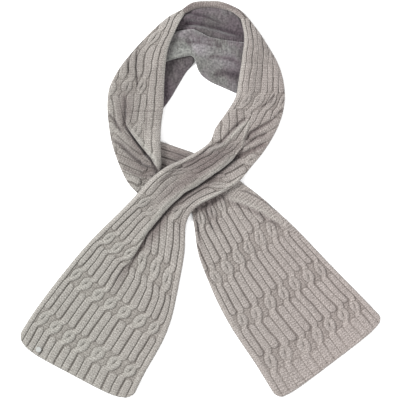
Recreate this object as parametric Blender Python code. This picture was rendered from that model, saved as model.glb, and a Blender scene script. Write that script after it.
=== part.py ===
"""A cable-knit scarf with a fleece lining, laid flat as a neck loop with its tails crossed.

The scarf is one strip of lined knit, 176 mm wide.  It lies on Z = 0 with its neck end at +Y, so the
loop's opening and both tails are seen from +Z.  Each stretch of the strip that shows is one solid.
Tables are in millimetres and the model is in metres; the origin is the middle of the footprint.
"""

from collections import namedtuple

import bmesh
import bpy
import numpy as np

MM = 0.001
GAP = 0.45  # clearance between stretches that lie on or beside each other
SEAM = 0.006  # the same clearance where one stretch of a strip follows another, in rows
WALL = 6.0  # ribbed knit and its fleece, together
ROW = 69.0  # length of cloth from one row of cable crossings to the next
EDGE = 0.45  # thickness left at a stretch's edge, as a share of its full thickness
STEEPEST = 0.5  # how steeply cloth comes down from what it lies on, rise over run
CELL = 2.0  # grid of the height map that later stretches are draped over
BOARD = 600.0  # side of that height map
PLEAT_RUN = 2.0  # width of the drop from a pleat's lip to the cloth beside it
FACET = 14.0  # longest facet along a stretch

# One row for each section across a stretch.
#   row     place along the strip, in rows of cable crossings
#   in_/out the two ends of the section: the strip's upper or inner edge, and its lower or outer edge
#   lip     where a lengthwise pleat's lip lies, as a share of the section from its inner end
#   step    how far the pleat stands above the cloth beside it
#   wall    thickness of the cloth
#   roll    width over which the edges round down
#   bow     how far the section's middle stands out, to the right on the way from in_ to out_
Section = namedtuple("Section", "row in_x in_y out_x out_y lip step wall roll bow")

# From the left hem up over the crossing and round the right of the loop.
UPPER_STRIP = [
    Section(0.39, -246, -184, -91, -266, 0.42, 0, WALL, 6, 12.8),
    Section(1.00, -227, -154, -78, -239, 0.42, 0, WALL, 6, 0),
    Section(2.00, -181, -93, -47, -182, 0.42, 0, WALL, 6, 0),
    Section(3.00, -135, -41, -31, -124, 0.42, 3, WALL, 6, 0),
    Section(3.45, -109, -16, -22, -74, 0.43, 5, WALL, 6, 0),
    Section(3.95, -85, 9, -18, -27, 0.56, 5, 6, 7, 0),
    Section(4.25, -70, 26, -6, -10, 0.61, 5, 6, 8, 0),
    Section(4.65, -47, 44, 21, 5, 0.60, 5, 6, 8, 0),
    Section(5.10, -22, 56, 48, 21, 0.55, 5, 7, 8, 0),
    Section(5.55, 1, 69, 68, 44, 0.58, 5, 8, 10, 0),
    Section(5.95, 14, 81, 86, 66, 0.60, 0, 10, 14, 0),
    Section(6.30, 20, 97, 100, 89, 0.60, 0, 11, 18, 0),
    Section(6.70, 34, 117, 110, 113, 0.60, 0, 11, 18, 0),
    Section(7.05, 47, 138, 114, 136, 0.60, 0, 11, 18, 0),
    Section(7.40, 51, 159, 112, 161, 0.60, 0, 11, 17, 0),
    Section(7.85, 56, 192, 103, 188, 0.60, 0, 10, 14, 0),
    Section(8.25, 59, 219, 88, 213, 0.60, 0, 9, 10, 0),
    Section(8.50, 57, 233, 76, 231, 0.60, 0, 8, 7, 0),
    Section(8.70, 54, 244, 65, 245, 0.60, 0, 7, 5, 0),
]

# The knit edge along the top of the neck, on from the end of the upper strip.
NECK_STRIP = [
    Section(8.70, 54, 244, 65, 245, 0.60, 0, 7, 5, 0),
    Section(8.90, 45, 252, 54, 256, 0.60, 0, 7, 4, 0),
    Section(9.20, 29, 258, 32, 267, 0.60, 0, 7, 4, 0),
    Section(9.55, 7, 260, 9, 269, 0.60, 0, 7, 4, 0),
    Section(9.80, -10, 257, -11, 267, 0.60, 0, 7, 4, 0),
    Section(10.00, -20, 252, -22, 260, 0.60, 0, 7, 4, 0),
]
NECK_DOWN = 9.1  # the row by which the neck's edge has come down to the surface

# From the top of the neck down the left of the loop to the crossing.
LEFT_STRIP = [
    Section(-1.60, -21.5, 251.5, -23.5, 258.5, 0.65, 0, 6, 3, 0),
    Section(-1.50, -24, 247, -38, 251, 0.65, 0, 7, 5, 0),
    Section(-1.30, -28, 240, -56, 237, 0.65, 0, 8, 8, 0),
    Section(-1.05, -35, 225, -75, 219, 0.65, 0, 9, 12, 0),
    Section(-0.75, -43, 205, -94, 198, 0.65, 0, 10, 15, 0),
    Section(-0.40, -47, 182, -109, 179, 0.65, 0, 10, 17, 0),
    Section(0.00, -49, 154, -123, 152, 0.66, 0, 9, 17, 0),
    Section(0.40, -50, 125, -126, 125, 0.67, 3, 8, 16, 0),
    Section(0.73, -53, 102, -124, 100, 0.65, 5, 7, 14, 0),
    Section(1.05, -54, 80, -120, 77, 0.44, 5, 7, 12, 0),
    Section(1.40, -53, 59, -110, 47, 0.20, 5, 6, 10, 0),
    Section(1.80, -53, 42, -95, 19, 0.06, 2, 6, 8, 0),
    Section(2.05, -55, 36, -80, 4, 0.05, 0, 6, 6, 0),
]

# From the right hem up to the crossing and under it, to the foot of the left strip.
LOWER_STRIP = [
    Section(3.62, 246, -160, 103, -268.5, 0.50, 0, WALL, 6, -7),
    Section(3.00, 224, -137, 77, -226, 0.50, 0, WALL, 6, 0),
    Section(2.00, 176, -88, 40, -170, 0.50, 0, WALL, 6, 0),
    Section(1.00, 124, -34, 11, -111, 0.50, 0, WALL, 6, 0),
    Section(0.50, 101, -13, -3, -73, 0.50, 0, WALL, 6, 0),
    Section(0.00, 78, 7, -9, -33, 0.50, 0, WALL, 6, 0),
    Section(-0.35, 53, 26, -14, -10, 0.50, 0, WALL, 6, 0),
    Section(-0.75, 22, 50, -30, 0, 0.50, 0, WALL, 6, 0),
    Section(-1.15, -7, 63, -47, 4, 0.50, 0, WALL, 6, 0),
    Section(-1.60, -57, 80, -54, 9, 0.50, 0, WALL, 6, 0),
]

# The fleece inside the neck: sections run down the fleece, from left to right.
#   top_/low_  its ends, the top one under the neck's edge or under the fold in front
#   wave       height of the crumples across the section
Lining = namedtuple("Lining", "top_x top_y low_x low_y wall wave")

NECK_FLEECE_BACK = [
    Lining(-30, 246, -34, 226, 4, 1.0),
    Lining(-20, 250, -20, 223, 4, 1.5),
    Lining(-8, 256, -6, 222, 5, 2.0),
    Lining(8, 259, 7, 217, 5, 2.0),
    Lining(22, 258, 22, 212, 5, 2.0),
    Lining(36, 254, 38, 208, 5, 2.0),
    Lining(47, 249, 53, 206, 5, 1.5),
    Lining(55, 238, 63, 205, 4, 1.0),
]

NECK_FLEECE_FRONT = [
    Lining(-40, 226, -54, 184, 5, 0.5),
    Lining(-23, 229, -39, 189, 6, 1.0),
    Lining(-10, 230, -23, 193, 6, 1.0),
    Lining(0, 226, -10, 193, 6, 1.5),
    Lining(12, 220, -2, 173, 6, 2.0),
    Lining(26, 217, 11, 161, 6, 2.5),
    Lining(40, 215, 28, 153, 6, 2.5),
    Lining(54, 213, 44, 146, 6, 2.0),
    Lining(66, 211, 60, 140, 5, 1.0),
]

LOOP_FLEECE_BACK = [
    Lining(-68, 202, -6, 200, 4, 0.5),
    Lining(-68, 186, -9, 185, 4, 0.5),
    Lining(-68, 173, -19, 173, 4, 0.5),
    Lining(-68, 155, -30, 155, 4, 0.5),
    Lining(-67, 138, -40, 138, 4, 0.5),
    Lining(-64, 121, -50, 124, 3, 0.0),
]

# The seams between a strip's stretches, in rows, and the names of those stretches.
UPPER_SEAMS = [0.39, 4.10, 5.90, 8.70]
UPPER_NAMES = ["tail_left", "crossing_over", "loop_right"]
NECK_SEAMS = [8.70, 10.00]
NECK_NAMES = ["neck_edge"]
LEFT_SEAMS = [-1.60, 2.05]
LEFT_NAMES = ["loop_left"]
LOWER_SEAMS = [-1.60, -0.20, 3.62]
LOWER_NAMES = ["crossing_under", "tail_right"]

STUD_AT = (-218.6, -201.8)  # a plain round stud near the left hem's corner
STUD_RADIUS = 4.0
STUD_HEIGHT = 1.4
STUD_CHAMFER = 0.7

KNIT = ("knit", (0.42, 0.39, 0.36, 1.0), 0.95)
FLEECE = ("fleece", (0.30, 0.29, 0.30, 1.0), 1.0)
STUD = ("stud", (0.62, 0.62, 0.60, 1.0), 0.35)


def curve(keys, values, at):
    """A smooth curve through a table's values, with slopes taken from the rows on both sides."""
    keys = np.asarray(keys, float)
    values = np.asarray(values, float)
    slopes = np.gradient(values, keys)
    k = np.clip(np.searchsorted(keys, at, side="right") - 1, 0, len(keys) - 2)
    run = keys[k + 1] - keys[k]
    f = (at - keys[k]) / run
    return (
        values[k] * (1 + 2 * f) * (1 - f) ** 2
        + slopes[k] * run * f * (1 - f) ** 2
        + values[k + 1] * f**2 * (3 - 2 * f)
        - slopes[k + 1] * run * f**2 * (1 - f)
    )


def section_at(strip, row):
    """The strip's section at each row: smooth edges, evenly changing folds."""
    table = sorted(strip)
    keys = [s.row for s in table]
    smooth = [curve(keys, [getattr(s, n) for s in table], row) for n in Section._fields[1:5]]
    plain = [np.interp(row, keys, [getattr(s, n) for s in table]) for n in Section._fields[5:]]
    return Section(row, *smooth, *plain)


class Board:
    """The height of all cloth laid so far, on a square grid, for the next stretch to lie on."""

    def __init__(self):
        cells = int(BOARD / CELL)
        self.height = np.zeros((cells, cells))

    def index(self, x, y):
        last = len(self.height) - 1
        column = np.clip(np.rint((x + BOARD / 2) / CELL), 0, last).astype(int)
        line = np.clip(np.rint((y + BOARD / 2) / CELL), 0, last).astype(int)
        return line, column

    def lay(self, x, y, top):
        """Add a stretch, given by its grid of points."""
        for share_a in np.linspace(0, 1, 12):
            along = [a[:-1] * (1 - share_a) + a[1:] * share_a for a in (x, y, top)]
            for share_b in np.linspace(0, 1, 12):
                spot = [a[:, :-1] * (1 - share_b) + a[:, 1:] * share_b for a in along]
                np.maximum.at(self.height, self.index(spot[0], spot[1]), spot[2])

    def rest(self, x, y):
        """The height at which cloth laid over the board lies: clear of it, and never too steep."""
        drape = np.where(self.height > 0, self.height + GAP, 0)
        for _ in range(3):
            drape = spread(drape, 0.0)
        for _ in range(12):
            drape = spread(drape, STEEPEST * CELL)
        return drape[self.index(x, y)]


def spread(field, fall):
    """Each cell raised to its highest neighbour, less the fall over one cell."""
    wide = np.pad(field, 1)
    size = len(field)
    best = field.copy()
    for dy in (0, 1, 2):
        for dx in (0, 1, 2):
            run = np.hypot(dx - 1, dy - 1)
            np.maximum(best, wide[dy : dy + size, dx : dx + size] - fall * run, out=best)
    return best


def rounding(depth, roll):
    """Share of the full thickness at a depth in from an edge that rounds over the roll."""
    f = np.clip(depth / roll, 0, 1)
    return EDGE + (1 - EDGE) * np.sqrt(1 - (1 - f) ** 2)


def strip_points(strip, rows):
    """Grid of plan points and thicknesses: a line of the grid for each row, its section across."""
    section = section_at(strip, rows)
    shares = np.array([0, 0.04, 0.12, 0.30, 0.55, 0.80, 1.0])
    width = np.hypot(section.out_x - section.in_x, section.out_y - section.in_y)
    run = PLEAT_RUN / width
    inner = section.lip[:, None] * shares
    outer = (section.lip + run)[:, None] + (1 - section.lip - run)[:, None] * (1 - shares[::-1])
    share = np.hstack([inner, outer])
    lift = np.hstack([np.ones_like(inner), np.zeros_like(outer)]) * section.step[:, None]
    x = section.in_x[:, None] * (1 - share) + section.out_x[:, None] * share
    y = section.in_y[:, None] * (1 - share) + section.out_y[:, None] * share
    depth = np.minimum(share, 1 - share) * width[:, None]
    wall = (section.wall[:, None] + lift) * rounding(depth, section.roll[:, None])
    bow = section.bow[:, None] * (1 - np.abs(2 * share - 1) ** 6)
    x = x + bow * (section.out_y - section.in_y)[:, None] / width[:, None]
    y = y - bow * (section.out_x - section.in_x)[:, None] / width[:, None]
    return x, y, wall


def solid(name, x, y, low, top, finish, collection):
    """A closed solid between two height fields over one grid of plan points."""
    lines, columns = x.shape
    shape = bmesh.new()
    bmesh.ops.create_grid(shape, x_segments=columns - 1, y_segments=lines - 1, size=0.5)
    shape.verts.ensure_lookup_table()
    crust = bmesh.ops.extrude_face_region(shape, geom=shape.faces[:])
    upper = [v for v in crust["geom"] if isinstance(v, bmesh.types.BMVert)]
    raised = set(upper)
    for vert in shape.verts:
        i = round((vert.co.y + 0.5) * (lines - 1))
        j = round((vert.co.x + 0.5) * (columns - 1))
        height = top[i, j] if vert in raised else low[i, j]
        vert.co = (x[i, j] * MM, y[i, j] * MM, height * MM)
    bmesh.ops.triangulate(shape, faces=shape.faces[:])
    bmesh.ops.recalc_face_normals(shape, faces=shape.faces[:])
    mesh = bpy.data.meshes.new(name)
    shape.to_mesh(mesh)
    shape.free()
    mesh.materials.append(finish)
    piece = bpy.data.objects.new(name, mesh)
    collection.objects.link(piece)
    return piece


def strip_solids(strip, seams, names, board, finish, collection):
    """A strip draped over what is on the board, as one solid for each stretch between its seams."""
    rows = []
    for first, last in zip(seams[:-1], seams[1:]):
        steps = max(2, int(np.ceil((last - first) * ROW / FACET)))
        rows.append(np.linspace(first, last - SEAM, steps + 1))
    at = np.concatenate(rows)
    x, y, wall = strip_points(strip, at)
    low = board.rest(x, y)
    if strip is NECK_STRIP:
        low *= np.clip((NECK_DOWN - at) / (NECK_DOWN - at[0]), 0, 1)[:, None]
    else:
        board.lay(x, y, low + wall)
    start = 0
    for name, part in zip(names, rows):
        line = slice(start, start + len(part))
        solid(name, x[line], y[line], low[line], (low + wall)[line], finish, collection)
        start += len(part)


def fleece(name, table, waves, board, finish, collection):
    """A stretch of lining, crumpled in waves along it, draped and added to the board."""
    count = len(table)
    at = np.linspace(0, count - 1, 2 * count - 1)
    values = {f: curve(np.arange(count), [getattr(s, f) for s in table], at) for f in Lining._fields}
    share = np.linspace(0, 1, 9)
    x = values["top_x"][:, None] * (1 - share) + values["low_x"][:, None] * share
    y = values["top_y"][:, None] * (1 - share) + values["low_y"][:, None] * share
    wall = values["wall"][:, None] - values["wave"][:, None] * np.cos(2 * np.pi * waves * share)
    low = board.rest(x, y)
    board.lay(x, y, low + wall)
    return solid(name, x, y, low, low + wall, finish, collection)


def stud(finish, collection):
    """A low round stud with a chamfered rim, standing on the left tail."""
    bpy.ops.mesh.primitive_cone_add(
        vertices=24,
        radius1=STUD_RADIUS * MM,
        radius2=(STUD_RADIUS - STUD_CHAMFER) * MM,
        depth=STUD_HEIGHT * MM,
        location=(STUD_AT[0] * MM, STUD_AT[1] * MM, (WALL + GAP + STUD_HEIGHT / 2) * MM),
    )
    button = bpy.context.object
    button.name = "stud"
    button.data.materials.append(finish)
    for owner in list(button.users_collection):
        owner.objects.unlink(button)
    collection.objects.link(button)


def material(name, colour, roughness):
    finish = bpy.data.materials.new(name)
    finish.use_nodes = True
    shader = finish.node_tree.nodes["Principled BSDF"]
    shader.inputs["Base Color"].default_value = colour
    shader.inputs["Roughness"].default_value = roughness
    shader.inputs["Metallic"].default_value = 0.0
    return finish


def build():
    for item in list(bpy.data.objects):
        bpy.data.objects.remove(item, do_unlink=True)
    scarf = bpy.data.collections.new("scarf")
    bpy.context.scene.collection.children.link(scarf)
    knit = material(*KNIT)
    nap = material(*FLEECE)
    board = Board()
    strip_solids(LOWER_STRIP, LOWER_SEAMS, LOWER_NAMES, board, knit, scarf)
    fleece("loop_fleece_back", LOOP_FLEECE_BACK, 1.0, board, nap, scarf)
    fleece("neck_fleece_back", NECK_FLEECE_BACK, 2.0, board, nap, scarf)
    fleece("neck_fleece_front", NECK_FLEECE_FRONT, 1.0, board, nap, scarf)
    strip_solids(NECK_STRIP, NECK_SEAMS, NECK_NAMES, board, knit, scarf)
    strip_solids(LEFT_STRIP, LEFT_SEAMS, LEFT_NAMES, board, knit, scarf)
    strip_solids(UPPER_STRIP, UPPER_SEAMS, UPPER_NAMES, board, knit, scarf)
    stud(material(*STUD), scarf)


build()
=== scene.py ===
"""A cable-knit scarf with a fleece lining, laid flat as a neck loop with its tails crossed.

One strip of lined knit, 176 mm wide, goes from the left hem over the crossing, round the neck and back
under the crossing to the right hem.  Each length of it that shows is a shell built over the same
sections as the model's solids, with the ribs, cables and creases worked into its upper face.
Tables are in millimetres; the meshes are in metres.
"""

from collections import namedtuple

import bmesh
import bpy
import numpy as np
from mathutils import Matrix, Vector


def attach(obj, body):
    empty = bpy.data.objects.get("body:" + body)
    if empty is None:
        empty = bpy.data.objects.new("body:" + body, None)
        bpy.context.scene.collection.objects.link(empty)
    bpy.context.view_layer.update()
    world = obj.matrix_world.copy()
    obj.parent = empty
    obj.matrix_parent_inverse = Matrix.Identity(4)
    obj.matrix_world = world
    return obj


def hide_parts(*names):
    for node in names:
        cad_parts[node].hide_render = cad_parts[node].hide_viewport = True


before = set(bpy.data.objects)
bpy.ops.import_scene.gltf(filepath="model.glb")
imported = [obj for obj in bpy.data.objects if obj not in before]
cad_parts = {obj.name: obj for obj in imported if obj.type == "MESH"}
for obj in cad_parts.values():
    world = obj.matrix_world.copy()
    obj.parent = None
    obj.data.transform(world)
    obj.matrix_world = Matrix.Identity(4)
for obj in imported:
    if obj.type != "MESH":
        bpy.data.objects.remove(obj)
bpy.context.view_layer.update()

MM = 0.001
CLOTH_WIDTH = 176.0
WALL = 6.0  # ribbed knit and its fleece, together
ROW = 69.0  # length of cloth from one row of cable crossings to the next
CLEAR = 0.5  # clearance between stretches that lie on each other
EDGE = 0.45  # height of an edge's outer line, as a share of the cloth's thickness
UNDERCUT = 0.4  # the same for the lower face, which turns up to meet it
UNDER_ROLL = 3.0  # width over which the lower face turns up
STEEPEST = 0.5  # how steeply cloth comes down from what it lies on, rise over run
REACH = 12  # cells over which it comes down at the most
CELL = 2.0  # grid of the height map that later stretches are draped over
BOARD = 600.0  # side of that height map


def table(kind, *rows):
    """Rows of one kind."""
    return [kind(*row) for row in rows]


# ---
# The strip's path: one row for each section across a stretch.
#   row     place along the strip, in rows of cable crossings
#   in_/out the two ends of the section: the strip's upper or inner edge, and its lower or outer edge
#   lip     where a lengthwise pleat's lip lies, as a share of the section from its inner end
#   step    how far the pleat stands above the cloth beside it
#   wall    thickness of the cloth
#   roll    width over which the edges round down
#   bow     how far the section's middle stands out
Section = namedtuple(
    "Section", "row in_x in_y out_x out_y lip step wall roll bow", defaults=(0.5, 0, WALL, 6, 0)
)

UPPER_STRIP = table(
    Section,
    (0.39, -246, -184, -91, -266, 0.42, 0, WALL, 6, 12.8),
    (1, -227, -154, -78, -239, 0.42),
    (2, -181, -93, -47, -182, 0.42),
    (3, -135, -41, -31, -124, 0.42, 1.5),
    (3.45, -109, -16, -22, -74, 0.43, 3.2),
    (3.95, -85, 9, -18, -27, 0.56, 5, 6, 7),
    (4.25, -70, 26, -6, -10, 0.61, 5, 6, 8),
    (4.65, -47, 44, 21, 5, 0.6, 5, 6, 8),
    (5.1, -22, 56, 48, 21, 0.55, 5, 7, 8),
    (5.55, 1, 69, 68, 44, 0.58, 5, 8, 10),
    (5.95, 14, 81, 86, 66, 0.6, 0, 10, 14),
    (6.3, 20, 97, 100, 89, 0.6, 0, 11, 18),
    (6.7, 34, 117, 110, 113, 0.6, 0, 11, 18),
    (7.05, 47, 138, 114, 136, 0.6, 0, 11, 18),
    (7.4, 51, 159, 112, 161, 0.6, 0, 11, 17),
    (7.85, 56, 192, 103, 188, 0.6, 0, 10, 14),
    (8.25, 59, 219, 88, 213, 0.6, 0, 9, 10),
    (8.5, 57, 233, 76, 231, 0.6, 0, 8, 7),
    (8.7, 54, 244, 65, 245, 0.6, 0, 7, 5),
)

NECK_STRIP = table(
    Section,
    UPPER_STRIP[-1],
    (8.9, 45, 252, 54, 256, 0.6, 0, 7, 4),
    (9.2, 29, 258, 32, 267, 0.6, 0, 7, 4),
    (9.55, 7, 260, 9, 269, 0.6, 0, 7, 4),
    (9.8, -10, 257, -11, 267, 0.6, 0, 7, 4),
    (10, -21.5, 251.5, -23.5, 259, 0.6, 0, 7, 4),
)
NECK_DOWN = 9.1  # the row by which the neck's edge has come down to the surface
CLOSED_FROM = 6.6  # the row past which no light shows under the cloth
LEFT_DOWN = -1.3  # the row above which the left strand comes down to meet it

LEFT_STRIP = table(
    Section,
    (-1.6, -21.5, 251.5, -23.5, 258.5, 0.65, 0, 6, 3),
    (-1.5, -24, 247, -38, 251, 0.65, 0, 7, 5),
    (-1.3, -28, 240, -56, 237, 0.65, 0, 8, 8),
    (-1.05, -35, 225, -75, 219, 0.65, 0, 9, 12),
    (-0.75, -43, 205, -94, 198, 0.65, 0, 10, 15),
    (-0.4, -47, 182, -109, 179, 0.65, 0, 10, 17),
    (0, -49, 154, -123, 152, 0.66, 0, 9, 17),
    (0.4, -50, 125, -126, 125, 0.67, 0.5, 8, 16),
    (0.73, -53, 102, -124, 100, 0.65, 2, 7, 14),
    (1.05, -54, 80, -120, 77, 0.44, 5, 7, 12),
    (1.4, -53, 59, -110, 47, 0.2, 5, 6, 10),
    (1.8, -53, 42, -95, 19, 0.06, 2, 6, 8),
    (2.05, -55, 36, -80, 4, 0.05, 0, 6),
)

LOWER_STRIP = table(
    Section,
    (3.62, 246, -160, 103, -268.5, 0.5, 0, WALL, 6, -7),
    (3, 224, -137, 77, -226),
    (2, 176, -88, 40, -170),
    (1, 124, -34, 11, -111),
    (0.5, 101, -13, -3, -73),
    (0, 78, 7, -9, -33),
    (-0.35, 53, 26, -14, -10),
    (-0.75, 22, 50, -30, 0),
    (-1.15, -7, 63, -47, 4),
    (-1.6, -57, 80, -54, 9),
)

COLUMNS = 188  # faces across a stretch
CABLE_COLUMNS = 24  # faces across a cable on a flat tail
LIP_COLUMN = 79.5  # where the columns divide at the lip
CABLES = COLUMNS / CABLE_COLUMNS
HALF = LIP_COLUMN / CABLE_COLUMNS

# Which ribs show across a section, counted in cables from the selvedge: at the inner edge, on both sides
# of the pleat's lip, and at the outer edge.  A flat tail goes from 0 to CABLES with nothing hidden.
Ribs = namedtuple("Ribs", "row inner lip past outer")

UPPER_RIBS = table(
    Ribs,
    (0.39, 0, HALF, HALF, CABLES), (2.7, 0, HALF, HALF, CABLES), (3, 0, 3.3, 4.2, CABLES),
    (3.45, 0, 2.9, 5, CABLES), (3.95, 0, 2.6, 6.2, CABLES), (4.25, 0, 2.55, 6.4, CABLES),
    (4.65, 0, 2.65, 6.4, CABLES), (5.1, 0, 2.6, 5.8, 7.2), (5.55, 0, 2.6, 4.7, 6),
    (5.95, 0, 2.8, 3.1, 4.8), (6.3, 0, 2.6, 2.6, 4.35), (6.7, 0, 2.5, 2.5, 4.25),
    (7.05, 0, 2.35, 2.35, 4.05), (7.4, 0, 2.25, 2.25, 3.85), (7.85, 0, 1.9, 1.9, 3.3),
    (8.25, 0, 1.35, 1.35, 2.35), (8.5, 0, 0.9, 0.9, 1.55), (8.7, 0, 0.45, 0.45, 0.8),
)

NECK_RIBS = table(
    Ribs,
    (8.7, 0, 0.4, 0.4, 0.8), (9, 0.04, 0.22, 0.22, 0.38), (10, 0.08, 0.2, 0.2, 0.32),
)

LEFT_RIBS = table(
    Ribs,
    (-1.6, -0.3, -0.05, -0.05, 0.1), (-1.5, -0.3, 0.15, 0.15, 0.35), (-1.3, -0.35, 0.5, 0.5, 0.95),
    (-1.05, -0.4, 0.88, 0.88, 1.5), (-0.75, -0.42, 1.15, 1.15, 2), (-0.4, -0.47, 1.4, 1.4, 2.42),
    (0, -0.6, 1.9, 1.9, 2.95), (0.4, -0.8, 1.95, 2.2, 3.3), (0.73, -0.8, 1.68, 2.2, 3.3),
    (1.05, -0.8, 0.74, 2.2, 4.05), (1.4, -0.8, -0.19, 2.2, 4.7), (1.8, -0.8, -0.6, 2.2, 4.7),
    (2.05, -0.8, -0.6, 2.2, 4.4),
)

LOWER_RIBS = table(
    Ribs,
    (3.62, 0, HALF, HALF, CABLES), (1.15, 0, HALF, HALF, CABLES), (0.8, 0.75, 4.08, 4.08, 7.25),
    (0.45, 0.95, 4.05, 4.05, 7.1), (0.05, 1.18, 3.89, 3.89, 6.61), (-0.35, 1.4, 3.85, 3.85, 6.2),
    (-0.75, 0, 1.6, 1.6, 3.6), (-1.6, 0, 1.6, 1.6, 3.6),
)

# How far each of the seven cables' crossings lies off its row, in rows.
UPPER_DRIFT = {
    1: (0.05, 0.01, -0.01, -0.02, -0.02, -0.04, -0.01),
    2: (0.01, -0.04, -0.08, -0.11, -0.08, -0.06, -0.02),
    3: (0, -0.06, 0.03, 0.03, 0.03, 0.08, 0.04),
    4: (-0.15, -0.22, -0.3, -0.2, -0.1, 0, 0),
    5: (-0.3, -0.3, -0.42, -0.14, -0.1, -0.1, -0.1),
    6: (-0.1, -0.12, -0.08, -0.1, -0.2, -0.3, -0.3),
    7: (0,) * 7,
}
LOWER_DRIFT = {
    0: (-0.45, -0.42, -0.36, -0.13, -0.08, -0.06, -0.06),
    1: (-0.11, -0.11, -0.11, -0.11, -0.06, -0.04, 0),
    2: (-0.04, -0.05, -0.04, -0.01, 0.01, 0.08, 0.02),
    3: (-0.04, 0, 0.02, 0.06, 0.08, 0.05, 0.02),
}
LEFT_DRIFT = {
    0: (0,) * 7,
    1: (-0.2, -0.24, -0.1, 0, 0, 0, 0),
}

# Where the selvedge, the seven cables' middles and the far selvedge lie on a flat tail, as shares.
CABLE_SHARES = (0.0, 0.093, 0.208, 0.34, 0.466, 0.602, 0.753, 0.886, 1.0)

# ---
# The knit: each cable is two ribs that cross twice, close together, at every row.
CABLE = CLOTH_WIDTH / CABLES
SELVEDGE = 5 / 12  # plain edge, in cables
RIB_DEPTH = 2.7  # from a rib's top to the gutter beside it
GROUND = 0.42  # level of the ground between crossings, as a share of that
GROUND_ROWS = 0.25  # rows on both sides of a crossing over which the ground shows
STITCH_WIDE = 3.745  # a rib is three stitches wide
STITCH_TALL = 3.3
STITCH_SLANT = 0.45  # how far its legs rise to its middle, in stitches

# The rib that comes to a crossing on the right, from its rounded upper end down to where it ends under
# the other one, measured from the crossing's middle.  The other rib is the same, turned half round.
#   half    half its width
#   level   height of its top, as a share of a plain rib's
Strand = namedtuple("Strand", "x y half level")
STRAND = table(
    Strand,
    (6, 52.4, 5.5, 1),
    (6, 17, 5.5, 1),
    (5.8, 13.8, 5.1, 0.94),
    (4.9, 11.2, 4.5, 0.85),
    (2.6, 8.6, 4.3, 0.95),
    (-1, 5.6, 4.4, 1.12),
    (-3.8, 2, 4.3, 1.25),
    (-4.4, -2, 4.1, 1.15),
    (-3.9, -5.4, 3.8, 0.95),
    (-2.6, -8, 3.4, 0.7),
    (-1.4, -9.4, 3, 0.5),
)
HANG = 0.145  # rows below the crossing's middle that belong to this rib
KNOT_ROWS = 0.18  # rows on both sides of a crossing that its knot takes up
LATTICE = 128  # random numbers along each side of a noise's square


def smooth(f):
    """0 to 1 with level ends."""
    f = np.clip(f, 0, 1)
    return f * f * (3 - 2 * f)


def bell(f):
    """1 at nought, dying away on both sides."""
    return np.exp(-(f**2))


def curve(keys, values, at):
    """A smooth curve through a table's values, with slopes taken from the rows on both sides."""
    keys = np.asarray(keys, float)
    values = np.asarray(values, float)
    slopes = np.gradient(values, keys)
    k = np.clip(np.searchsorted(keys, at, side="right") - 1, 0, len(keys) - 2)
    run = keys[k + 1] - keys[k]
    f = (at - keys[k]) / run
    return (
        values[k] * (1 + 2 * f) * (1 - f) ** 2
        + slopes[k] * run * f * (1 - f) ** 2
        + values[k + 1] * f**2 * (3 - 2 * f)
        - slopes[k + 1] * run * f**2 * (1 - f)
    )


def table_at(sections, kind, smooth_fields, at):
    """A table's fields at each row, the smooth ones along curves and the others evenly."""
    sections = sorted(sections)
    keys = [s.row for s in sections]
    found = {}
    for n in kind._fields[1:]:
        values = [getattr(s, n) for s in sections]
        found[n] = curve(keys, values, at) if n in smooth_fields else np.interp(at, keys, values)
    return kind(at, **found)


def noise(x, y, size, seed):
    """Smooth random heights, about -1 to 1, with hills of the given size."""
    lattice = np.random.default_rng(seed).uniform(-1, 1, (LATTICE, LATTICE))
    column = np.floor(x / size).astype(int)
    line = np.floor(y / size).astype(int)
    fx = smooth(x / size - column)
    fy = smooth(y / size - line)
    corner = [lattice[(line + dy) % LATTICE, (column + dx) % LATTICE] for dy in (0, 1) for dx in (0, 1)]
    return (corner[0] * (1 - fx) + corner[1] * fx) * (1 - fy) + (
        corner[2] * (1 - fx) + corner[3] * fx
    ) * fy


# ---
# Draping: the height of all cloth laid so far.


def spread(field, fall):
    """Each cell raised to its highest neighbour, less the fall over one cell."""
    wide = np.pad(field, 1)
    size = len(field)
    best = field.copy()
    for dy in (0, 1, 2):
        for dx in (0, 1, 2):
            run = np.hypot(dx - 1, dy - 1)
            np.maximum(best, wide[dy : dy + size, dx : dx + size] - fall * run, out=best)
    return best


def blur(field):
    """Each cell set to the mean of itself and its neighbours."""
    wide = np.pad(field, 1, mode="edge")
    size = len(field)
    total = sum(wide[dy : dy + size, dx : dx + size] for dy in (0, 1, 2) for dx in (0, 1, 2))
    return total / 9


class Board:
    """The height of all cloth laid so far, on a square grid, for the next stretch to lie on."""

    def __init__(self):
        cells = int(BOARD / CELL)
        self.height = np.zeros((cells, cells))

    def lay(self, x, y, top):
        """Adds a stretch's upper face."""
        last = len(self.height) - 1
        column = np.clip(np.rint((x + BOARD / 2) / CELL), 0, last).astype(int)
        line = np.clip(np.rint((y + BOARD / 2) / CELL), 0, last).astype(int)
        np.maximum.at(self.height, (line, column), top)

    def rest(self, x, y, tight=False):
        """The height at which cloth laid over the board lies: clear of it, and never too steep.

        The tight height follows what is right below, for a lower face under which light would show.
        """
        drape = np.where(self.height > 0, self.height + CLEAR, 0)
        drape = spread(drape, 0.0)
        if not tight:
            for _ in range(2):
                drape = spread(drape, 0.0)
            for _ in range(REACH):
                drape = spread(drape, STEEPEST * CELL)
            for _ in range(2):
                drape = blur(drape)
        last = len(drape) - 2
        across = np.clip((x + BOARD / 2) / CELL, 0, last)
        along = np.clip((y + BOARD / 2) / CELL, 0, last)
        column = across.astype(int)
        line = along.astype(int)
        fx = across - column
        fy = along - line
        low = drape[line, column] * (1 - fx) + drape[line, column + 1] * fx
        high = drape[line + 1, column] * (1 - fx) + drape[line + 1, column + 1] * fx
        return low * (1 - fy) + high * fy


# ---
# Relief of the knit.


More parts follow.
